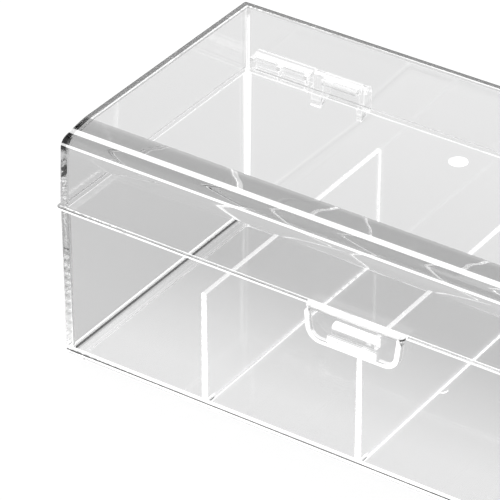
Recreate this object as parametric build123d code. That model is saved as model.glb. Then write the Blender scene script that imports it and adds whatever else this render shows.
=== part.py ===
from build123d import *
import os
from math import atan, degrees

# Clear trading card storage box: a tray with four compartments and a snap-on hinged lid.
# +X runs along the length, -Y is the front with the latch, +Z is up.
# The origin is at the bottom, in the middle of the whole outline.

# Case, in millimetres. Length and depth are taken over the walls at the seam.
LENGTH = 285.0
DEPTH = 133.5
HEIGHT = 108.7
SEAM_Z = 73.8
SEAM_GAP = 0.1
WALL = 2.3
CORNER_RADIUS = 1.2
INNER_CORNER_RADIUS = 2.4
TRAY_DRAFT = 0.011

# Tray bottom: a raised floor with a rounded edge on a narrow foot ring.
FOOT_HEIGHT = 2.2
FOOT_INSET = 3.4
FOOT_WIDTH = 2.3
FOOT_CORNER_RADIUS = 1.6
FLOOR_THICKNESS = 2.2
BOTTOM_RADIUS = 2.8
INNER_BOTTOM_RADIUS = 2.3

# Dividers, moulded in one with the tray and thicker at the root for draft.
DIVIDER_PITCH = 73.1
DIVIDER_TOP_Z = 58.0
DIVIDER_ROOT_THICKNESS = 2.9
DIVIDER_TOP_THICKNESS = 2.1
DIVIDER_TOP_RADIUS = 0.5

# Flange round the lid's rim, which rests on the tray's rim and carries the latch and hinge.
FLANGE_REACH = 1.4
FLANGE_THICKNESS = 1.1
FLANGE_EDGE = 0.25

# Lid walls lean inwards to the top, and by less at the front.
LID_END_LEAN = 0.8
LID_REAR_LEAN = 1.0
LID_FRONT_LEAN = 0.35
REAR_TOP_RADIUS = 1.6
LID_CORNER_RADIUS = 0.8
HOLLOW_CORNER_RADIUS = 1.4

# Brow: the lid's long front edge, which falls in a shallow crown from a crease and then rounds over.
# The hollow behind it turns in a wider round, so the plastic is thick there.
BROW_DEPTH = 16.9
BROW_FALL = 3.0
BROW_CROWN = 0.34
BROW_RADIUS = 4.5
HOLLOW_BROW_DEPTH = 15.8
HOLLOW_BROW_FALL = 2.1
HOLLOW_BROW_CROWN = 0.52
HOLLOW_BROW_RADIUS = 8.0

# Hinge: one axis behind the rear wall, with a mirrored pair of snap hinges.
AXIS_BEHIND_WALL = 4.8
AXIS_ABOVE_SEAM = 5.5
BAR_RADIUS = 1.5
BAR_CLEARANCE = 0.06
KNUCKLE_RADIUS = 2.7
SNAP_MOUTH = 2.5
SIDE_CLEARANCE = 0.3
ROOT_OVERLAP = 1.0
EAR_RADIUS = 2.9
EAR_DROP = 12.6
EAR_HIP = 8.9
INNER_EAR_X = 84.2
INNER_EAR_WIDTH = 2.6
OUTER_EAR_X = 105.9
OUTER_EAR_WIDTH = 5.0
WEB_BELOW_AXIS = 0.6
WEB_ABOVE_AXIS = 1.9

# Second half of each hinge: a bar on the lid in a cradle on the tray, whose back stops the open lid.
LID_BAR_START_X = 110.4
LID_BAR_END_X = 139.4
ARM_WIDTH = 1.8
ARM_THICKNESS = 1.8
CRADLE_SHELF = 1.8
CRADLE_REAR = 2.9
CRADLE_BACK_FRONT = 1.62
CRADLE_BACK_TOP = 1.8
CRADLE_BACK_ROUND = 0.5
CRADLE_FRONT_TOP = 0.9
CRADLE_FRONT_THICKNESS = 1.2

# Latch: a hanging tab on the lid, over a catch on the tray's front wall.
TAB_HALF_WIDTH = 22.1
TAB_TAPER = 1.6
TAB_DROP = 14.0
TAB_CORNER_RADIUS = 6.5
TAB_TOP_RADIUS = 2.6
TAB_FRONT = 4.7
TAB_THICKNESS = 1.3
TAB_RIM = 1.6
TAB_RIM_DEPTH = 1.6
SHELF_SIDE_MARGIN = 0.3
SHELF_CORNER_RADIUS = 3.0
BARB_HALF_WIDTH = 11.2
BARB_TOP = 9.0
BARB_HEIGHT = 3.4
BARB_DEPTH = 0.35
BARB_SLOT_HALF_WIDTH = 7.2
BARB_SLOT_HEIGHT = 1.2
RIM_GAP_HALF_WIDTH = 11.8
CATCH_HALF_WIDTH = 10.3
CATCH_TOP = 3.9
CATCH_BOTTOM = 8.4
CATCH_REACH = 2.9
CATCH_NOSE = 2.4
CATCH_END_BEVEL = 0.6

# Gate marks, where the plastic entered each mould.
LID_GATE_DIAMETER = 7.5
LID_GATE_DEPTH = 0.5
LID_GATE_FROM_FRONT = 71.6
GATE_NIB_DIAMETER = 1.8
GATE_NIB_HEIGHT = 0.25
TRAY_GATE_DIAMETER = 5.5
TRAY_GATE_HEIGHT = 0.7

# Places worked out from the sizes above.
FRONT_REACH = TAB_FRONT
REAR_REACH = AXIS_BEHIND_WALL + EAR_RADIUS
CASE_Y = (FRONT_REACH - REAR_REACH) / 2
FRONT_Y = CASE_Y - DEPTH / 2
REAR_Y = CASE_Y + DEPTH / 2
AXIS_Y = REAR_Y + AXIS_BEHIND_WALL
AXIS_Z = SEAM_Z + AXIS_ABOVE_SEAM
LID_Z = SEAM_Z + SEAM_GAP
FLOOR_Z = FOOT_HEIGHT + FLOOR_THICKNESS
SIDES = (-1, 1)


def rounded_outline(inset, corner_radius):
    """Plan of the case, drawn smaller by an inset on every side."""
    return RectangleRounded(LENGTH - 2 * inset, DEPTH - 2 * inset, corner_radius)


def tapered_block(inset, corner_radius, bottom_z):
    """Block from the seam down to bottom_z, with the tray's draft."""
    seam = Plane(origin=(0, CASE_Y, SEAM_Z), z_dir=(0, 0, -1))
    outline = seam * rounded_outline(inset, corner_radius)
    return extrude(outline, amount=SEAM_Z - bottom_z, taper=degrees(atan(TRAY_DRAFT)))


def rounded_bottom(block, bottom_z, radius):
    """The same block with its lowest edges rounded."""
    edges = block.edges().filter_by_position(Axis.Z, bottom_z - 0.01, bottom_z + 0.01)
    return fillet(edges, radius)


def rim_flange():
    """Thin flange that stands out all round the lid's rim."""
    plan = Plane(origin=(0, CASE_Y, LID_Z))
    wide = rounded_outline(-FLANGE_REACH, CORNER_RADIUS + FLANGE_REACH)
    band = extrude(plan * wide, FLANGE_THICKNESS)
    upper = band.edges().group_by(Axis.Z)[-1]
    band = chamfer(upper, FLANGE_EDGE)
    return band - extrude(plan * rounded_outline(WALL / 2, CORNER_RADIUS), FLANGE_THICKNESS)


def across(profile, centre_x, width):
    """Extrude a side profile along X. The profile's zero is on the hinge axis."""
    side = Plane(origin=(centre_x - width / 2, AXIS_Y, AXIS_Z), x_dir=(0, 1, 0), z_dir=(1, 0, 0))
    return extrude(side * profile, width)


def rod(radius, start_x, end_x):
    """Round bar on the hinge axis."""
    return across(Circle(radius), (start_x + end_x) / 2, end_x - start_x)


def side_box(low_y, low_z, high_y, high_z):
    """Upright rectangle for a side profile."""
    centre = Pos((low_y + high_y) / 2, (low_z + high_z) / 2)
    return centre * Rectangle(high_y - low_y, high_z - low_z)


def ear_profile():
    """Ear of the tray: a bracket that stands on the rear wall, round at the top about the bar."""
    root_y = -AXIS_BEHIND_WALL - ROOT_OVERLAP
    foot = (root_y, -EAR_DROP)
    hip = (EAR_RADIUS, -EAR_HIP)
    rim = (root_y, -AXIS_ABOVE_SEAM)
    left = (-EAR_RADIUS, -AXIS_ABOVE_SEAM)
    head = Circle(EAR_RADIUS) + side_box(-EAR_RADIUS, -AXIS_ABOVE_SEAM, EAR_RADIUS, 0)
    return head + make_face(Polyline(foot, hip, (EAR_RADIUS, -AXIS_ABOVE_SEAM), left, rim, close=True))


def cradle_profile():
    """Cradle of the tray, on a shelf at the seam: a long back and a short front round the lid's bar."""
    back = cradle_back_profile()
    front_y = -BAR_RADIUS - BAR_CLEARANCE - CRADLE_FRONT_THICKNESS
    front = side_box(front_y, -AXIS_ABOVE_SEAM, 0, CRADLE_FRONT_TOP)
    mouth = side_box(-SNAP_MOUTH / 2, 0, CRADLE_BACK_FRONT, CRADLE_BACK_TOP)
    return back + front - Circle(BAR_RADIUS + BAR_CLEARANCE) - mouth


def cradle_back_profile():
    """Shelf and back of the cradle alone, which pass behind the lid's arms and stop them."""
    root_y = -AXIS_BEHIND_WALL - ROOT_OVERLAP
    shelf = side_box(root_y, -AXIS_ABOVE_SEAM - CRADLE_SHELF, CRADLE_REAR, -AXIS_ABOVE_SEAM)
    back = side_box(CRADLE_BACK_FRONT, -AXIS_ABOVE_SEAM, CRADLE_REAR, CRADLE_BACK_TOP)
    top_rear = back.vertices().sort_by(lambda corner: corner.X + corner.Y)[-1]
    return shelf + fillet(top_rear, CRADLE_BACK_ROUND)


def knuckle_profile():
    """Open knuckle of the lid that snaps down over a tray bar."""
    root_y = -AXIS_BEHIND_WALL - ROOT_OVERLAP
    web = side_box(root_y, -WEB_BELOW_AXIS, 0, WEB_ABOVE_AXIS)
    knuckle = web + Circle(KNUCKLE_RADIUS) - Circle(BAR_RADIUS + BAR_CLEARANCE)
    return knuckle - side_box(-SNAP_MOUTH / 2, -KNUCKLE_RADIUS, SNAP_MOUTH / 2, 0)


def arm_centres():
    """Middles of the two end arms and the middle arm of a lid bar, measured from the centre line."""
    first = LID_BAR_START_X + ARM_WIDTH / 2
    last = LID_BAR_END_X - ARM_WIDTH / 2
    return first, (first + last) / 2, last


def tray_hinge(side):
    """Two ears with a bar between them, and a cradle for the lid's own bar."""
    inner = across(ear_profile(), side * INNER_EAR_X, INNER_EAR_WIDTH)
    outer = across(ear_profile(), side * OUTER_EAR_X, OUTER_EAR_WIDTH)
    bar = rod(BAR_RADIUS, *sorted((side * INNER_EAR_X, side * OUTER_EAR_X)))
    first, middle, last = arm_centres()
    back = across(cradle_back_profile(), side * middle, LID_BAR_END_X - LID_BAR_START_X)
    reach = (last - first) / 2 - ARM_WIDTH - 2 * SIDE_CLEARANCE
    near = across(cradle_profile(), side * (first + middle) / 2, reach)
    far = across(cradle_profile(), side * (middle + last) / 2, reach)
    return [inner, outer, bar, back, near, far]


def lid_hinge(side):
    """A knuckle for the tray's bar, and a bar on three arms for the tray's cradle."""
    inner_face = INNER_EAR_X + INNER_EAR_WIDTH / 2 + SIDE_CLEARANCE
    outer_face = OUTER_EAR_X - OUTER_EAR_WIDTH / 2 - SIDE_CLEARANCE
    knuckle = across(knuckle_profile(), side * (inner_face + outer_face) / 2, outer_face - inner_face)
    bar = rod(BAR_RADIUS, *sorted((side * LID_BAR_START_X, side * LID_BAR_END_X)))
    arm = side_box(-AXIS_BEHIND_WALL - ROOT_OVERLAP, -ARM_THICKNESS / 2, 0, ARM_THICKNESS / 2)
    arms = [across(arm, side * x, ARM_WIDTH) for x in arm_centres()]
    return [knuckle, bar, *arms]


def divider(centre_x):
    """Upright plate from the front wall to the rear wall, with drafted faces."""
    root = DIVIDER_ROOT_THICKNESS / 2
    crest = DIVIDER_TOP_THICKNESS / 2
    low = FLOOR_Z - FLOOR_THICKNESS / 2
    section = make_face(
        Polyline((-root, low), (root, low), (crest, DIVIDER_TOP_Z), (-crest, DIVIDER_TOP_Z), close=True)
    )
    crests = section.vertices().group_by(Axis.Y)[-1]
    section = fillet(crests, DIVIDER_TOP_RADIUS)
    length = DEPTH - WALL
    end = Plane(origin=(centre_x, CASE_Y + length / 2, 0), x_dir=(1, 0, 0), z_dir=(0, -1, 0))
    return extrude(end * section, length)


def catch():
    """Ledge on the front wall with a rounded top, which the tab rides over and snaps under."""
    top = -CATCH_TOP
    bottom = -CATCH_BOTTOM
    nose = top - CATCH_NOSE
    curve = EllipticalCenterArc((0, nose), CATCH_REACH, CATCH_NOSE, start_angle=90, arc_size=90)
    outline = curve + Polyline(
        (-CATCH_REACH, nose), (-CATCH_REACH, bottom), (ROOT_OVERLAP, bottom), (ROOT_OVERLAP, top), (0, top)
    )
    side = Plane(origin=(-CATCH_HALF_WIDTH, FRONT_Y, SEAM_Z), x_dir=(0, 1, 0), z_dir=(1, 0, 0))
    ledge = extrude(side * make_face(outline), 2 * CATCH_HALF_WIDTH)
    ends = ledge.edges().filter_by(Axis.Z).group_by(Axis.Y)[0]
    return chamfer(ends, CATCH_END_BEVEL)


def tab_outline(inset):
    """Front view of the hanging tab, drawn smaller by an inset, with its zero on the seam."""
    top = SEAM_GAP + FLANGE_THICKNESS / 2
    wide = TAB_HALF_WIDTH - inset
    narrow = wide - TAB_TAPER
    low = -TAB_DROP + inset
    outline = make_face(Polyline((-wide, top), (wide, top), (narrow, low), (-narrow, low), close=True))
    lower = outline.vertices().group_by(Axis.Y)[0]
    outline = fillet(lower, TAB_CORNER_RADIUS - inset)
    upper = outline.vertices().group_by(Axis.Y)[-1]
    return fillet(upper, TAB_TOP_RADIUS - inset)


def front_extrude(sketch, from_wall, thickness):
    """Extrude a front view forwards, starting a distance in front of the wall."""
    view = Plane(origin=(0, FRONT_Y - from_wall, SEAM_Z), x_dir=(1, 0, 0), z_dir=(0, -1, 0))
    return extrude(view * sketch, thickness)


def tab_shelf():
    """Wide part of the rim flange, from which the tab hangs, rounded where it meets the tab's face."""
    plan = Plane(origin=(0, FRONT_Y, LID_Z))
    half_width = TAB_HALF_WIDTH + SHELF_SIDE_MARGIN
    outline = Pos(0, (ROOT_OVERLAP - TAB_FRONT) / 2) * Rectangle(2 * half_width, TAB_FRONT + ROOT_OVERLAP)
    outline = fillet(outline.vertices().group_by(Axis.Y)[0], SHELF_CORNER_RADIUS)
    shelf = extrude(plan * outline, FLANGE_THICKNESS)
    front_top = shelf.edges().filter_by(Axis.X).group_by(Axis.Z)[-1].sort_by(Axis.Y)[0]
    return fillet(front_top, 2 * FLANGE_EDGE)


def latch_tab():
    """Shelf, D-shaped tab with a stiffening rim, and a slotted barb on its inner face."""
    inner = TAB_FRONT - TAB_THICKNESS
    plate = front_extrude(tab_outline(0), inner, TAB_THICKNESS)
    rim = front_extrude(tab_outline(0) - tab_outline(TAB_RIM), inner - TAB_RIM_DEPTH, TAB_RIM_DEPTH)
    gap = Pos(0, -TAB_DROP) * Rectangle(2 * RIM_GAP_HALF_WIDTH, TAB_DROP)
    rim = rim - front_extrude(gap, inner - TAB_RIM_DEPTH, TAB_RIM_DEPTH)
    middle = Pos(0, -BARB_TOP - BARB_HEIGHT / 2)
    block = middle * Rectangle(2 * BARB_HALF_WIDTH, BARB_HEIGHT)
    barb = front_extrude(block, inner - BARB_DEPTH, BARB_DEPTH)
    opening = middle * SlotOverall(2 * BARB_SLOT_HALF_WIDTH, BARB_SLOT_HEIGHT)
    slot = front_extrude(opening, 0, TAB_FRONT + ROOT_OVERLAP)
    return plate + rim + barb + tab_shelf() - slot


def tray():
    """Tray of one moulding: walls, raised floor, foot ring, dividers, catch and hinge."""
    shell = rounded_bottom(tapered_block(0, CORNER_RADIUS, FOOT_HEIGHT), FOOT_HEIGHT, BOTTOM_RADIUS)
    cavity = rounded_bottom(tapered_block(WALL, INNER_CORNER_RADIUS, FLOOR_Z), FLOOR_Z, INNER_BOTTOM_RADIUS)
    foot_inset = SEAM_Z * TRAY_DRAFT + FOOT_INSET
    ground = Plane(origin=(0, CASE_Y, 0))
    foot_plan = rounded_outline(foot_inset, FOOT_CORNER_RADIUS)
    foot_plan -= rounded_outline(foot_inset + FOOT_WIDTH, FOOT_CORNER_RADIUS)
    foot = extrude(ground * foot_plan, FOOT_HEIGHT + FLOOR_THICKNESS / 2)
    gate = Pos(0, CASE_Y, FOOT_HEIGHT) * Cylinder(
        TRAY_GATE_DIAMETER / 2, 2 * TRAY_GATE_HEIGHT, align=(Align.CENTER, Align.CENTER, Align.CENTER)
    )
    body = shell - cavity + foot + gate
    for x in (-DIVIDER_PITCH, 0, DIVIDER_PITCH):
        body += divider(x)
    body += catch()
    for side in SIDES:
        for piece in tray_hinge(side):
            body += piece
    return body


def lid_profile(inset, brow_depth, brow_fall, brow_crown, brow_radius):
    """Side view of the lid or its hollow: leaning walls, flat top, crease, crowned brow and its round."""
    top = HEIGHT - inset
    front_low = FRONT_Y + inset
    front_high = front_low + LID_FRONT_LEAN
    rear_low = REAR_Y - inset
    crease = (front_low + brow_depth, top)
    nose = (front_high, top - brow_fall)
    crown = SagittaArc(crease, nose, -brow_crown)
    walls = Polyline(nose, (front_low, LID_Z), (rear_low, LID_Z), (rear_low - LID_REAR_LEAN, top), crease)
    profile = make_face(crown + walls)
    corner = profile.vertices().sort_by_distance(nose)[0]
    return fillet(corner, brow_radius)


def lid_form(inset, profile, edge_radius):
    """Outer form of the lid, or its hollow: a long profile cut by leaning ends, with rounded edges."""
    half = LENGTH / 2 - inset
    side = Plane(origin=(-half, 0, 0), x_dir=(0, 1, 0), z_dir=(1, 0, 0))
    long_form = extrude(side * profile, 2 * half)
    top = HEIGHT - inset
    high = half - LID_END_LEAN
    ends = make_face(Polyline((-half, LID_Z), (half, LID_Z), (high, top), (-high, top), close=True))
    front_view = Plane(origin=(0, REAR_Y, 0), x_dir=(1, 0, 0), z_dir=(0, -1, 0))
    form = long_form & extrude(front_view * ends, DEPTH)
    rear_top = form.edges().filter_by(Axis.X).group_by(Axis.Z)[-1].sort_by(Axis.Y)[-1]
    form = fillet(rear_top, REAR_TOP_RADIUS)
    left = form.faces().sort_by(Axis.X)[0]
    right = form.faces().sort_by(Axis.X)[-1]
    rims = [edge for face in (left, right) for edge in face.edges() if edge.center().Z > LID_Z + 0.1]
    return fillet(rims, edge_radius)


def lid_shell():
    """Walls and top of the lid, open below."""
    outside = lid_profile(0, BROW_DEPTH, BROW_FALL, BROW_CROWN, BROW_RADIUS)
    inside = lid_profile(
        WALL, HOLLOW_BROW_DEPTH, HOLLOW_BROW_FALL, HOLLOW_BROW_CROWN, HOLLOW_BROW_RADIUS
    )
    hollow = lid_form(WALL, inside, HOLLOW_CORNER_RADIUS)
    return lid_form(0, outside, LID_CORNER_RADIUS) - hollow


def lid():
    """Lid of one moulding: rounded brow, rim flange, latch tab, hinge and a sunk gate mark."""
    body = lid_shell() + rim_flange()
    body += latch_tab()
    for side in SIDES:
        for piece in lid_hinge(side):
            body += piece
    mark = Pos(0, FRONT_Y + LID_GATE_FROM_FRONT, HEIGHT - LID_GATE_DEPTH)
    low = (Align.CENTER, Align.CENTER, Align.MIN)
    body -= mark * Cylinder(LID_GATE_DIAMETER / 2, 2 * LID_GATE_DEPTH, align=low)
    body += mark * Cylinder(GATE_NIB_DIAMETER / 2, GATE_NIB_HEIGHT, align=low)
    return body


os.makedirs("parts", exist_ok=True)
export_step(tray(), "parts/tray.step")
export_step(lid(), "parts/lid.step")
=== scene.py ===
import bpy
import math
from mathutils import Matrix, Vector

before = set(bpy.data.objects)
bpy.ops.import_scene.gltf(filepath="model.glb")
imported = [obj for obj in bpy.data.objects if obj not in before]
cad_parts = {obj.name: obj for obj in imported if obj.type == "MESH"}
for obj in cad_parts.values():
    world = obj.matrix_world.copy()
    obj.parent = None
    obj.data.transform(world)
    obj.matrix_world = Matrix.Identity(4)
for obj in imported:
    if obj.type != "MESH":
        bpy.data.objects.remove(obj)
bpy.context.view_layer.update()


# Camera
# The photograph was taken from the right of the front and above, at about a metre and a half.
# The place and turn come from fitting the box's corners, seam, dividers and foot to it.
FRONT_WALL_Y = -0.06825
LENS_PLACE = Vector((0.61036, -0.98676 + FRONT_WALL_Y, 0.85857))
LENS_TURN = (math.radians(-57.0), math.radians(0.21), math.radians(-33.94))
SENSOR_WIDTH = 36.0
FOCAL_LENGTH = 262.4
NEAREST = 0.05
FARTHEST = 50.0

tilt, roll, turn = LENS_TURN
world_to_lens = (
    Matrix.Rotation(tilt, 3, "X") @ Matrix.Rotation(roll, 3, "Y") @ Matrix.Rotation(turn, 3, "Z")
)
lens = bpy.data.cameras.new("photograph_lens")
lens.sensor_width = SENSOR_WIDTH
lens.lens = FOCAL_LENGTH
lens.clip_start = NEAREST
lens.clip_end = FARTHEST
camera = bpy.data.objects.new("photograph_camera", lens)
camera.matrix_world = Matrix.Translation(LENS_PLACE) @ world_to_lens.transposed().to_4x4()
bpy.context.scene.collection.objects.link(camera)
bpy.context.scene.camera = camera


# Tray
# The lower moulding: walls, floor, foot ring, dividers, catch and hinge ears in one piece.
# It is clear, polished polystyrene, slightly grey, which bends light strongly. Light that enters
# a wall runs inside it to the next edge, and the white of the edges is painted on as an emitted
# glow, while the faces stay clear.
PLASTIC_INDEX = 1.59
DEEPER_TINT = (0.975, 0.975, 0.976, 1.0)
PALER_TINT = (0.988, 0.988, 0.989, 1.0)
HAZE_MOST = 0.03
RIPPLE_SIZE = 22.0
RIPPLE_DEPTH = 0.02
RIPPLE_RELIEF = 0.001
MARK_SIZE = 4.0
MARK_DEPTH = 0.01
MARK_RELIEF = 0.0002
MARK_STRETCH = (9.0, 160.0, 160.0)
MARK_TURN = (0.0, 0.0, math.radians(24))
# Painted edge glow: its emission strength, the width and turn of the edges it lights, and the near
# black tint of the painted shade.
PAINTED_EDGE_GLOW = 0.75
EDGE_WIDTH = 0.0005
EDGE_TURN = (0.97, 0.85)
PAINTED_SHADE_TINT = (0.004, 0.004, 0.004, 1.0)
BLACK = (0.0, 0.0, 0.0, 1.0)


def maths(nodes, link, operation, first, second):
    """Result of a maths node whose inputs are sockets or numbers."""
    node = nodes.new("ShaderNodeMath")
    node.operation = operation
    for slot, value in enumerate((first, second)):
        if isinstance(value, (int, float)):
            node.inputs[slot].default_value = value
        else:
            link(value, node.inputs[slot])
    return node.outputs["Value"]


def ramp(nodes, link, value, start, end):
    """Ramp from 0 at start to 1 at end."""
    node = nodes.new("ShaderNodeMapRange")
    node.inputs["From Min"].default_value = start
    node.inputs["From Max"].default_value = end
    link(value, node.inputs["Value"])
    return node.outputs["Result"]


def band(nodes, link, value, low, high, blur):
    """1 between low and high, and 0 beyond them, with a soft change."""
    rise = ramp(nodes, link, value, low - blur, low)
    fall = ramp(nodes, link, value, high + blur, high)
    return maths(nodes, link, "MULTIPLY", rise, fall)


def all_of(nodes, link, *masks):
    """Product of masks, the last of which may be a number."""
    whole = masks[0]
    for mask in masks[1:]:
        whole = maths(nodes, link, "MULTIPLY", whole, mask)
    return whole


def any_of(nodes, link, *masks):
    """Largest of masks."""
    whole = masks[0]
    for mask in masks[1:]:
        whole = maths(nodes, link, "MAXIMUM", whole, mask)
    return whole


def group_sockets(face, numbers, colours, made):
    """Sockets of a node group: numbers with their values, colours, and what it puts out."""
    for name, value in numbers:
        socket = face.new_socket(name=name, in_out="INPUT", socket_type="NodeSocketFloat")
        socket.default_value = value
    for name in colours:
        face.new_socket(name=name, in_out="INPUT", socket_type="NodeSocketColor")
    for name, kind in made:
        face.new_socket(name=name, in_out="OUTPUT", socket_type=kind)


def moulded_ripple_group():
    """Faint flow ripple and orange peel as a normal, and hairline marks as a roughness."""
    group = bpy.data.node_groups.new("moulded_ripple", "ShaderNodeTree")
    group_sockets(
        group.interface,
        (("Ripple size", RIPPLE_SIZE), ("Ripple depth", RIPPLE_DEPTH), ("Mark depth", MARK_DEPTH)),
        (),
        (
            ("Roughness", "NodeSocketFloat"),
            ("Tint", "NodeSocketColor"),
            ("Normal", "NodeSocketVector"),
        ),
    )
    nodes = group.nodes
    link = group.links.new
    given = nodes.new("NodeGroupInput")
    made = nodes.new("NodeGroupOutput")
    place = nodes.new("ShaderNodeTexCoord")
    ripple = nodes.new("ShaderNodeTexNoise")
    ripple.inputs["Detail"].default_value = 1.0
    link(place.outputs["Object"], ripple.inputs["Vector"])
    link(given.outputs["Ripple size"], ripple.inputs["Scale"])
    ripple_bump = nodes.new("ShaderNodeBump")
    ripple_bump.inputs["Distance"].default_value = RIPPLE_RELIEF
    link(ripple.outputs["Fac"], ripple_bump.inputs["Height"])
    link(given.outputs["Ripple depth"], ripple_bump.inputs["Strength"])
    stretch = nodes.new("ShaderNodeMapping")
    stretch.inputs["Scale"].default_value = MARK_STRETCH
    stretch.inputs["Rotation"].default_value = MARK_TURN
    marks = nodes.new("ShaderNodeTexNoise")
    marks.inputs["Scale"].default_value = MARK_SIZE
    marks.inputs["Detail"].default_value = 2.0
    link(place.outputs["Object"], stretch.inputs["Vector"])
    link(stretch.outputs["Vector"], marks.inputs["Vector"])
    mark_bump = nodes.new("ShaderNodeBump")
    mark_bump.inputs["Distance"].default_value = MARK_RELIEF
    link(marks.outputs["Fac"], mark_bump.inputs["Height"])
    link(given.outputs["Mark depth"], mark_bump.inputs["Strength"])
    link(ripple_bump.outputs["Normal"], mark_bump.inputs["Normal"])
    link(mark_bump.outputs["Normal"], made.inputs["Normal"])
    haze = nodes.new("ShaderNodeMapRange")
    haze.inputs["To Max"].default_value = HAZE_MOST
    link(marks.outputs["Fac"], haze.inputs["Value"])
    link(haze.outputs["Result"], made.inputs["Roughness"])
    tint = nodes.new("ShaderNodeMix")
    tint.data_type = "RGBA"
    tint.inputs["A"].default_value = DEEPER_TINT
    tint.inputs["B"].default_value = PALER_TINT
    link(ripple.outputs["Fac"], tint.inputs["Factor"])
    link(tint.outputs["Result"], made.inputs["Tint"])
    return group


def build_painted_edges():
    """Painted glow along every moulded edge, as emission, with painted highlights and painted shade
    where masks say, and no edge glow where the Quiet mask says.
    """
    group = bpy.data.node_groups.new("painted_edges_node_group", "ShaderNodeTree")
    group_sockets(
        group.interface,
        (("Edge width", EDGE_WIDTH), ("Shade", 0.0), ("Light", 0.0), ("Quiet", 0.0)),
        ("Tint",),
        (("Tint", "NodeSocketColor"), ("Shine", "NodeSocketColor")),
    )
    nodes = group.nodes
    link = group.links.new
    given = nodes.new("NodeGroupInput")
    made = nodes.new("NodeGroupOutput")
    rounded = nodes.new("ShaderNodeBevel")
    rounded.samples = 4
    link(given.outputs["Edge width"], rounded.inputs["Radius"])
    surface = nodes.new("ShaderNodeNewGeometry")
    likeness = nodes.new("ShaderNodeVectorMath")
    likeness.operation = "DOT_PRODUCT"
    link(rounded.outputs["Normal"], likeness.inputs[0])
    link(surface.outputs["Normal"], likeness.inputs[1])
    edge = ramp(nodes, link, likeness.outputs["Value"], *EDGE_TURN)
    loud = maths(nodes, link, "SUBTRACT", 1.0, given.outputs["Quiet"])
    edge_shine = all_of(nodes, link, edge, loud)
    link(any_of(nodes, link, edge_shine, given.outputs["Light"]), made.inputs["Shine"])
    darken = nodes.new("ShaderNodeMix")
    darken.data_type = "RGBA"
    darken.inputs["B"].default_value = PAINTED_SHADE_TINT
    link(given.outputs["Shade"], darken.inputs["Factor"])
    link(given.outputs["Tint"], darken.inputs["A"])
    link(darken.outputs["Result"], made.inputs["Tint"])
    return group


moulded_ripple = moulded_ripple_group()
painted_edges_node_group = build_painted_edges()


def clear_plastic(name):
    """Clear polished plastic, its painted edge glow and painted shade, and the places and turns of
    its surface.
    """
    plastic = bpy.data.materials.new(name)
    plastic.use_nodes = True
    nodes = plastic.node_tree.nodes
    link = plastic.node_tree.links.new
    shader = nodes["Principled BSDF"]
    shader.inputs["Metallic"].default_value = 0.0
    shader.inputs["IOR"].default_value = PLASTIC_INDEX
    shader.inputs["Transmission Weight"].default_value = 1.0
    shader.inputs["Emission Strength"].default_value = PAINTED_EDGE_GLOW
    ripple = nodes.new("ShaderNodeGroup")
    ripple.node_tree = moulded_ripple
    edges = nodes.new("ShaderNodeGroup")
    edges.node_tree = painted_edges_node_group
    link(ripple.outputs["Tint"], edges.inputs["Tint"])
    link(edges.outputs["Tint"], shader.inputs["Base Color"])
    # Only the outer side of a face takes the painted glow, or light inside the walls would gather
    # it.
    surface = nodes.new("ShaderNodeNewGeometry")
    outside_only = nodes.new("ShaderNodeMix")
    outside_only.data_type = "RGBA"
    outside_only.inputs["B"].default_value = BLACK
    link(surface.outputs["Backfacing"], outside_only.inputs["Factor"])
    link(edges.outputs["Shine"], outside_only.inputs["A"])
    link(outside_only.outputs["Result"], shader.inputs["Emission Color"])
    link(ripple.outputs["Roughness"], shader.inputs["Roughness"])
    link(ripple.outputs["Normal"], shader.inputs["Normal"])
    place = nodes.new("ShaderNodeTexCoord")
    spot = nodes.new("ShaderNodeSeparateXYZ")
    link(place.outputs["Object"], spot.inputs["Vector"])
    facing = nodes.new("ShaderNodeSeparateXYZ")
    link(place.outputs["Normal"], facing.inputs["Vector"])
    return plastic, edges, spot, facing


# Pairs are where a mask starts and where it is full, or the low and high end of a line.
FINE_BLUR = 0.0001
THIN_BLUR = 0.0002
SOFT_BLUR = 0.0003
WIDE_BLUR = 0.0004
STEEP_FACE = (0.9, 0.8)
FLAT_FACE = (0.9, 0.95)
ROUND_FACE = (0.01, 0.05)
BEFORE_FRONT_WALL = (-0.0686, -0.0688)
# Below, the strengths of glow, shine and shade are those of a painted glow, painted highlights and
# painted shade.
PAINTED_TRAY_GLOW = 7.0
GLOW_REACH = 0.1380
GLOW_FADE = 0.001
FLOOR_PAINTED_LIGHT = 0.34
FLOOR_FADE = (0.030, -0.045)
FLOOR_TOP = 0.0046
BASE_NEAR_END = (0.136, 0.137)
BASE_NEAR_SIDE = (0.060, 0.061)
BASE_LIGHT = (0.0064, 0.0072)
BASE_SHADE = (0.0050, 0.0055)
BASE_LOW_LIGHT = (0.0039, 0.0044)
CORNER_PLACE = (0.1372, 0.1412)
CORNER_REAR = (0.050, 0.055)
CORNER_PAINTED_HIGHLIGHT = 0.55
FRONT_CORNER = (0.1380, 0.1390)
FRONT_CORNER_DEPTH = (-0.0640, -0.0650)
FRONT_CORNER_SHADE = 0.5
CATCH_HALF = 0.0108
CATCH_HEIGHT = (0.0650, 0.0702)
CATCH_TURN = (0.1, 0.4)
CATCH_PAINTED_HIGHLIGHT = 0.9
EAR_FOOT_TOP = 0.0692
EAR_FOOT_SHADE = 0.85
BEHIND_REAR_WALL = 0.0662
END_FACE = (0.1400, 0.1404)
BELOW_SEAM = (0.0715, 0.0705)


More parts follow.
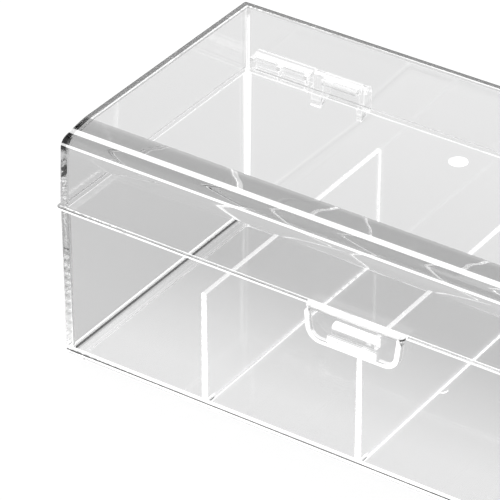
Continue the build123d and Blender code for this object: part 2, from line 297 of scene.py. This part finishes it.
def painted_rear_corner_highlight(nodes, link, spot, facing):
    """Painted highlight down the round corners at the rear, standing for the light that leaves both
    walls there.
    """
    from_middle = maths(nodes, link, "ABSOLUTE", spot.outputs["X"], 0.0)
    sideways = maths(nodes, link, "ABSOLUTE", facing.outputs["X"], 0.0)
    rearward = maths(nodes, link, "ABSOLUTE", facing.outputs["Y"], 0.0)
    both_ways = maths(nodes, link, "MULTIPLY", sideways, rearward)
    round_face = ramp(nodes, link, both_ways, *ROUND_FACE)
    at_corner = band(nodes, link, from_middle, *CORNER_PLACE, WIDE_BLUR)
    rear_half = ramp(nodes, link, spot.outputs["Y"], *CORNER_REAR)
    return all_of(nodes, link, round_face, at_corner, rear_half, CORNER_PAINTED_HIGHLIGHT)


tray_plastic, tray_edges, spot, facing = clear_plastic("tray_clear_plastic")
nodes = tray_plastic.node_tree.nodes
link = tray_plastic.node_tree.links.new
from_middle = maths(nodes, link, "ABSOLUTE", spot.outputs["X"], 0.0)
from_centre_line = maths(nodes, link, "ABSOLUTE", spot.outputs["Y"], 0.0)
upright = maths(nodes, link, "ABSOLUTE", facing.outputs["Z"], 0.0)

# Painted highlights draw two white lines round the foot of the walls, with a grey line of painted
# shade between them.
near_end = ramp(nodes, link, from_middle, *BASE_NEAR_END)
near_side = ramp(nodes, link, from_centre_line, *BASE_NEAR_SIDE)
by_a_wall = any_of(nodes, link, near_end, near_side)
steep_face = ramp(nodes, link, upright, *STEEP_FACE)
base_wall = all_of(nodes, link, by_a_wall, steep_face)
base_light = band(nodes, link, spot.outputs["Z"], *BASE_LIGHT, SOFT_BLUR)
base_low_light = band(nodes, link, spot.outputs["Z"], *BASE_LOW_LIGHT, THIN_BLUR)
painted_base_highlights = all_of(nodes, link, any_of(nodes, link, base_light, base_low_light), base_wall)
painted_base_shade = band(nodes, link, spot.outputs["Z"], *BASE_SHADE, SOFT_BLUR)
painted_base_shade = all_of(nodes, link, painted_base_shade, base_wall)

# A painted light makes the floor's upper face grow paler towards the front.
floor_level = ramp(nodes, link, spot.outputs["Z"], FLOOR_TOP + THIN_BLUR, FLOOR_TOP)
floor_face = ramp(nodes, link, upright, *FLAT_FACE)
towards_front = ramp(nodes, link, spot.outputs["Y"], *FLOOR_FADE)
painted_floor_light = all_of(nodes, link, floor_level, floor_face, towards_front, FLOOR_PAINTED_LIGHT)

# A painted highlight makes the catch white on its upper side, behind the latch tab.
before_front = ramp(nodes, link, spot.outputs["Y"], *BEFORE_FRONT_WALL)
catch_wide = ramp(nodes, link, from_middle, CATCH_HALF + FINE_BLUR, CATCH_HALF)
catch_high = band(nodes, link, spot.outputs["Z"], *CATCH_HEIGHT, THIN_BLUR)
catch_top = ramp(nodes, link, facing.outputs["Z"], *CATCH_TURN)
painted_catch_highlight = all_of(nodes, link, before_front, catch_wide, catch_high, catch_top, CATCH_PAINTED_HIGHLIGHT)

# Painted shade makes the feet of the hinge ears dark, and the front corners of the walls too.
behind = ramp(nodes, link, spot.outputs["Y"], BEHIND_REAR_WALL, BEHIND_REAR_WALL + THIN_BLUR)
foot_low = ramp(nodes, link, spot.outputs["Z"], EAR_FOOT_TOP + THIN_BLUR, EAR_FOOT_TOP)
painted_foot_shade = all_of(nodes, link, behind, foot_low, EAR_FOOT_SHADE)
by_front = ramp(nodes, link, spot.outputs["Y"], *FRONT_CORNER_DEPTH)
front_corner = ramp(nodes, link, from_middle, *FRONT_CORNER)
painted_corner_shade = all_of(nodes, link, by_front, front_corner, FRONT_CORNER_SHADE)

# The tray's painted highlights and painted shade go to its edge group, and its painted edge glow is
# turned off on the end faces below the seam.
painted_corner_highlight = painted_rear_corner_highlight(nodes, link, spot, facing)
tray_painted_light = any_of(nodes, link, painted_base_highlights, painted_floor_light, painted_corner_highlight, painted_catch_highlight)
link(tray_painted_light, tray_edges.inputs["Light"])
link(any_of(nodes, link, painted_base_shade, painted_foot_shade, painted_corner_shade), tray_edges.inputs["Shade"])
end_face = ramp(nodes, link, from_middle, *END_FACE)
below_seam = ramp(nodes, link, spot.outputs["Z"], *BELOW_SEAM)
link(all_of(nodes, link, end_face, below_seam), tray_edges.inputs["Quiet"])

# A painted glow, light given off inside the tray's plastic between its ends, makes the tops and
# front ends of the dividers white; it stands for the table's light running up inside them.
between_ends = ramp(nodes, link, from_middle, GLOW_REACH + GLOW_FADE, GLOW_REACH)
painted_glow = nodes.new("ShaderNodeEmission")
link(maths(nodes, link, "MULTIPLY", between_ends, PAINTED_TRAY_GLOW), painted_glow.inputs["Strength"])
link(painted_glow.outputs["Emission"], nodes["Material Output"].inputs["Volume"])

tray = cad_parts["tray"]
tray.data.materials.clear()
tray.data.materials.append(tray_plastic)


# Lid
# The upper moulding, in the same plastic, snapped on at the hinge bars. It rests on the tray's rim
# with the flange round its own. The front edge of the top is one wide curve, the brow, and the
# latch tab hangs from the flange.
# Below, each light or shine belongs to a painted highlight and each shade to a painted shade.
END_WALL_TOP = (0.1387, 0.1390)
REAR_WALL_TOP = (0.0608, 0.0611)
REAR_WALL_TURN = (0.2, 0.3)
OUTLINE_LOW = (0.100, 0.102)
BROW_PLACE = (-0.0674, -0.05135)
BROW_LOW = (0.1015, 0.1025)
BROW_ENDS = (0.3, 0.2)
BROW_SHADE = 0.22
BROW_LIGHT = (-0.0623, -0.0600)
OUTER_TOP = (0.1056, 0.1058)
NOSE_LIGHT = (0.1037, 0.1044)
NOSE_FACE = -0.0672
FLANGE_ENDS = 0.1428
FLANGE_FRONT = (-0.0698, -0.0686)
FLANGE_REAR = (0.0656, 0.0668)
FLANGE_LEVEL = (0.0735, 0.0756)
FLANGE_TURN = (0.6, 0.4)
FLANGE_SHADE = 0.6
TAB_HALF = 0.0227
TAB_FACE = -0.0725
TAB_SLOPE = 0.114
TAB_ROUND_X = 0.0143
TAB_ROUND_Z = 0.0663
TAB_LINE = 0.0049
BARB_HALF = 0.0112
BARB_FACE = (0.0616, 0.0648)
SHELF_PAINTED_HIGHLIGHT = 0.6
KNUCKLE_PLACE = 0.0668
KNUCKLE_TURN = (0.0, 0.5)
KNUCKLE_PAINTED_LIGHT = 0.45
GATE_MARK_Y = 0.00335
GATE_MARK_REACH = 0.0038
GATE_MARK_LEVEL = 0.1078


def distance(nodes, link, across, along):
    """Length of two offsets at a right angle."""
    across_square = maths(nodes, link, "MULTIPLY", across, across)
    along_square = maths(nodes, link, "MULTIPLY", along, along)
    square = maths(nodes, link, "ADD", across_square, along_square)
    return maths(nodes, link, "SQRT", square, 0.0)


lid_plastic, lid_edges, spot, facing = clear_plastic("lid_clear_plastic")
nodes = lid_plastic.node_tree.nodes
link = lid_plastic.node_tree.links.new
from_middle = maths(nodes, link, "ABSOLUTE", spot.outputs["X"], 0.0)
sideways = maths(nodes, link, "ABSOLUTE", facing.outputs["X"], 0.0)

# Painted shade makes the end and rear edges of the top dark instead of white.
over_end_wall = ramp(nodes, link, from_middle, *END_WALL_TOP)
not_end_face = ramp(nodes, link, sideways, *STEEP_FACE)
end_line = all_of(nodes, link, over_end_wall, not_end_face)
over_rear_wall = ramp(nodes, link, spot.outputs["Y"], *REAR_WALL_TOP)
upward = ramp(nodes, link, facing.outputs["Z"], *REAR_WALL_TURN)
rear_line = all_of(nodes, link, over_rear_wall, upward)
high = ramp(nodes, link, spot.outputs["Z"], *OUTLINE_LOW)
painted_outline_shade = all_of(nodes, link, any_of(nodes, link, end_line, rear_line), high)

# Painted shade makes the brow a little grey, and painted highlights draw a white line where it
# turns over and one along its nose.
on_brow = band(nodes, link, spot.outputs["Y"], *BROW_PLACE, THIN_BLUR)
brow_high = ramp(nodes, link, spot.outputs["Z"], *BROW_LOW)
not_sideways = ramp(nodes, link, sideways, *BROW_ENDS)
painted_brow_shade = all_of(nodes, link, on_brow, brow_high, not_sideways, BROW_SHADE)
brow_line = band(nodes, link, spot.outputs["Y"], *BROW_LIGHT, WIDE_BLUR)
outer_top = ramp(nodes, link, spot.outputs["Z"], *OUTER_TOP)
painted_brow_highlight = all_of(nodes, link, brow_line, outer_top)
nose_line = band(nodes, link, spot.outputs["Z"], *NOSE_LIGHT, THIN_BLUR)
nose_face = ramp(nodes, link, spot.outputs["Y"], NOSE_FACE, NOSE_FACE - FINE_BLUR)
painted_nose_highlight = all_of(nodes, link, nose_line, nose_face)

# Painted highlights make the flange white on its side and the shelf of the latch tab white on top,
# and painted shade makes the rest of its top darker.
beyond_ends = ramp(nodes, link, from_middle, FLANGE_ENDS, FLANGE_ENDS + FINE_BLUR)
beyond_front = band(nodes, link, spot.outputs["Y"], *FLANGE_FRONT, FINE_BLUR)
beyond_rear = band(nodes, link, spot.outputs["Y"], *FLANGE_REAR, FINE_BLUR)
flange_height = band(nodes, link, spot.outputs["Z"], *FLANGE_LEVEL, THIN_BLUR)
beyond = any_of(nodes, link, beyond_ends, beyond_front, beyond_rear)
flange = all_of(nodes, link, beyond, flange_height)
flange_side = ramp(nodes, link, facing.outputs["Z"], *FLANGE_TURN)
flange_top = maths(nodes, link, "SUBTRACT", 1.0, flange_side)
painted_flange_highlight = all_of(nodes, link, flange, flange_side)
before_front = ramp(nodes, link, spot.outputs["Y"], *BEFORE_FRONT_WALL)
within_tab = ramp(nodes, link, from_middle, TAB_HALF + FINE_BLUR, TAB_HALF)
on_tab = all_of(nodes, link, before_front, within_tab)
off_tab = maths(nodes, link, "SUBTRACT", 1.0, on_tab)
painted_flange_shade = all_of(nodes, link, flange, flange_top, off_tab, FLANGE_SHADE)
painted_shelf_highlight = all_of(nodes, link, on_tab, flange_top, SHELF_PAINTED_HIGHLIGHT)

# Painted highlights make the latch tab white along its raised rim, which tapers and has round lower
# corners, and across the barb.
tab_face = ramp(nodes, link, spot.outputs["Y"], TAB_FACE, TAB_FACE - FINE_BLUR)
above_round = maths(nodes, link, "SUBTRACT", spot.outputs["Z"], TAB_ROUND_Z)
taper = maths(nodes, link, "MULTIPLY", above_round, TAB_SLOPE)
straightened = maths(nodes, link, "SUBTRACT", from_middle, taper)
past_round = maths(nodes, link, "SUBTRACT", straightened, TAB_ROUND_X)
across = maths(nodes, link, "MAXIMUM", past_round, 0.0)
below_round = maths(nodes, link, "MULTIPLY", above_round, -1.0)
down = maths(nodes, link, "MAXIMUM", below_round, 0.0)
from_round = distance(nodes, link, across, down)
tab_line = ramp(nodes, link, from_round, TAB_LINE, TAB_LINE + THIN_BLUR)
barb_wide = ramp(nodes, link, from_middle, BARB_HALF + FINE_BLUR, BARB_HALF)
barb_high = band(nodes, link, spot.outputs["Z"], *BARB_FACE, FINE_BLUR)
barb_line = all_of(nodes, link, barb_wide, barb_high)
painted_tab_highlight = all_of(nodes, link, tab_face, any_of(nodes, link, tab_line, barb_line))

# Painted light makes the hinge knuckles pale on their upper half, and a painted highlight makes the
# gate mark a white disc.
knuckle = ramp(nodes, link, spot.outputs["Y"], KNUCKLE_PLACE, KNUCKLE_PLACE + THIN_BLUR)
raised = ramp(nodes, link, facing.outputs["Z"], *KNUCKLE_TURN)
painted_knuckle_light = all_of(nodes, link, knuckle, raised, KNUCKLE_PAINTED_LIGHT)
past_gate = maths(nodes, link, "SUBTRACT", spot.outputs["Y"], GATE_MARK_Y)
from_gate = distance(nodes, link, from_middle, past_gate)
in_gate = ramp(nodes, link, from_gate, GATE_MARK_REACH + FINE_BLUR, GATE_MARK_REACH)
on_top = ramp(nodes, link, spot.outputs["Z"], GATE_MARK_LEVEL, GATE_MARK_LEVEL + THIN_BLUR)
painted_gate_highlight = all_of(nodes, link, in_gate, on_top)

# The lid's painted highlights and painted shade go to its edge group, and the painted shade on the
# dark end and rear edges also turns off the painted edge glow there.
painted_corner_highlight = painted_rear_corner_highlight(nodes, link, spot, facing)
edge_painted_highlights = any_of(nodes, link, painted_brow_highlight, painted_nose_highlight, painted_corner_highlight, painted_flange_highlight)
latch_painted_light = any_of(nodes, link, painted_shelf_highlight, painted_tab_highlight, painted_knuckle_light)
lid_painted_light = any_of(nodes, link, edge_painted_highlights, latch_painted_light, painted_gate_highlight)
link(lid_painted_light, lid_edges.inputs["Light"])
link(any_of(nodes, link, painted_outline_shade, painted_brow_shade, painted_flange_shade), lid_edges.inputs["Shade"])
link(painted_outline_shade, lid_edges.inputs["Quiet"])

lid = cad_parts["lid"]
lid.data.materials.clear()
lid.data.materials.append(lid_plastic)


# Table and background
# The box stands on a plain pale sheet, which is white to the lens, as in a cut-out product picture.
# It takes the soft shadow of the box, and through the plastic it has its own pale grey.
SHEET_SIZE = 8.0
SHEET_LEVEL = -0.0005
SHEET_COLOUR = (0.12, 0.12, 0.12, 1.0)
SHEET_TONE = 0.49
SHEET_WHITE = 0.93
WHITE = (1.0, 1.0, 1.0, 1.0)

bpy.ops.mesh.primitive_plane_add(size=SHEET_SIZE, location=(0.0, 0.0, SHEET_LEVEL))
sheet = bpy.context.object
sheet.name = "white_sheet"
paper = bpy.data.materials.new("white_paper")
paper.use_nodes = True
nodes = paper.node_tree.nodes
link = paper.node_tree.links.new
paper_shader = nodes["Principled BSDF"]
paper_shader.inputs["Base Color"].default_value = SHEET_COLOUR
paper_shader.inputs["Roughness"].default_value = 1.0
paper_shader.inputs["Specular IOR Level"].default_value = 0.0
paper_shader.inputs["Emission Color"].default_value = WHITE
paper_path = nodes.new("ShaderNodeLightPath")
paper_tone = nodes.new("ShaderNodeMapRange")
paper_tone.inputs["To Min"].default_value = SHEET_TONE
paper_tone.inputs["To Max"].default_value = SHEET_WHITE
link(paper_path.outputs["Is Camera Ray"], paper_tone.inputs["Value"])
not_diffuse = maths(nodes, link, "SUBTRACT", 1.0, paper_path.outputs["Is Diffuse Ray"])
paper_glow = all_of(nodes, link, paper_tone.outputs["Result"], not_diffuse)
link(paper_glow, paper_shader.inputs["Emission Strength"])
sheet.data.materials.append(paper)

# The studio round the box: heights are sines of the angle above the horizon, each with its tone.
# A bright band low behind the box is mirrored by the flat top, and the gap above it by the brow.
REAR_STUDIO = (
    (0.0, 0.08), (0.10, 0.08), (0.22, 0.8), (0.42, 2.5), (0.62, 2.5),
    (0.70, 0.08), (0.88, 0.08), (0.96, 0.8),
)
FRONT_STUDIO = ((0.0, 0.08), (0.10, 0.08), (0.30, 0.7), (0.80, 0.7), (0.92, 0.8))
STUDIO_SEEN_THROUGH = ((0.0, 0.35), (0.22, 0.35), (0.42, 0.6), (0.80, 0.6), (1.0, 0.8))
REAR_STUDIO_START = (-0.15, 0.15)

surround = bpy.data.worlds.new("studio_surround")
bpy.context.scene.world = surround
surround.use_nodes = True
nodes = surround.node_tree.nodes
link = surround.node_tree.links.new
direction = nodes.new("ShaderNodeTexCoord")
split = nodes.new("ShaderNodeSeparateXYZ")
link(direction.outputs["Generated"], split.inputs["Vector"])


def studio_tones(stops):
    """Tones of the studio by height."""
    tones = nodes.new("ShaderNodeValToRGB")
    places = tones.color_ramp.elements
    places.remove(places[1])
    for position, tone in stops[1:]:
        places.new(position).color = (tone, tone, tone, 1.0)
    first_tone = stops[0][1]
    places[0].color = (first_tone, first_tone, first_tone, 1.0)
    link(split.outputs["Z"], tones.inputs["Fac"])
    return tones.outputs["Color"]


def either(factor, first, second):
    """Mix of two colours, of which the second may be a value."""
    mix = nodes.new("ShaderNodeMix")
    mix.data_type = "RGBA"
    link(factor, mix.inputs["Factor"])
    link(first, mix.inputs["A"])
    if isinstance(second, tuple):
        mix.inputs["B"].default_value = second
    else:
        link(second, mix.inputs["B"])
    return mix.outputs["Result"]


rear_side = ramp(nodes, link, split.outputs["Y"], *REAR_STUDIO_START)
mirrored = either(rear_side, studio_tones(FRONT_STUDIO), studio_tones(REAR_STUDIO))
sight = nodes.new("ShaderNodeLightPath")
beyond_plastic = either(
    sight.outputs["Is Transmission Ray"], mirrored, studio_tones(STUDIO_SEEN_THROUGH)
)
studio = either(sight.outputs["Is Camera Ray"], beyond_plastic, WHITE)
link(studio, nodes["Background"].inputs["Color"])


# Lamp
# One broad soft box overhead gives the even light and the soft shadow.
SOFT_BOX_PLACE = Vector((0.0, 0.3, 1.6))
SOFT_BOX_AIM = Vector((0.0, 0.0, 0.05))
SOFT_BOX_SIZE = (1.4, 1.0)
SOFT_BOX_WATTS = 6.0

soft_light = bpy.data.lights.new("overhead_soft_box", "AREA")
soft_light.shape = "RECTANGLE"
soft_light.size, soft_light.size_y = SOFT_BOX_SIZE
soft_light.energy = SOFT_BOX_WATTS
soft_box = bpy.data.objects.new("overhead_soft_box", soft_light)
bpy.context.scene.collection.objects.link(soft_box)
soft_box.location = SOFT_BOX_PLACE
towards_box = SOFT_BOX_AIM - SOFT_BOX_PLACE
soft_box.rotation_euler = towards_box.to_track_quat("-Z", "Y").to_euler()

bpy.context.scene.view_settings.view_transform = "Standard"

# Light that is trapped in a clear edge turns many times before it leaves, so the paths are long.
LONGEST_PATH = 40
paths = bpy.context.scene.cycles
paths.max_bounces = LONGEST_PATH
paths.glossy_bounces = LONGEST_PATH
paths.transmission_bounces = LONGEST_PATH
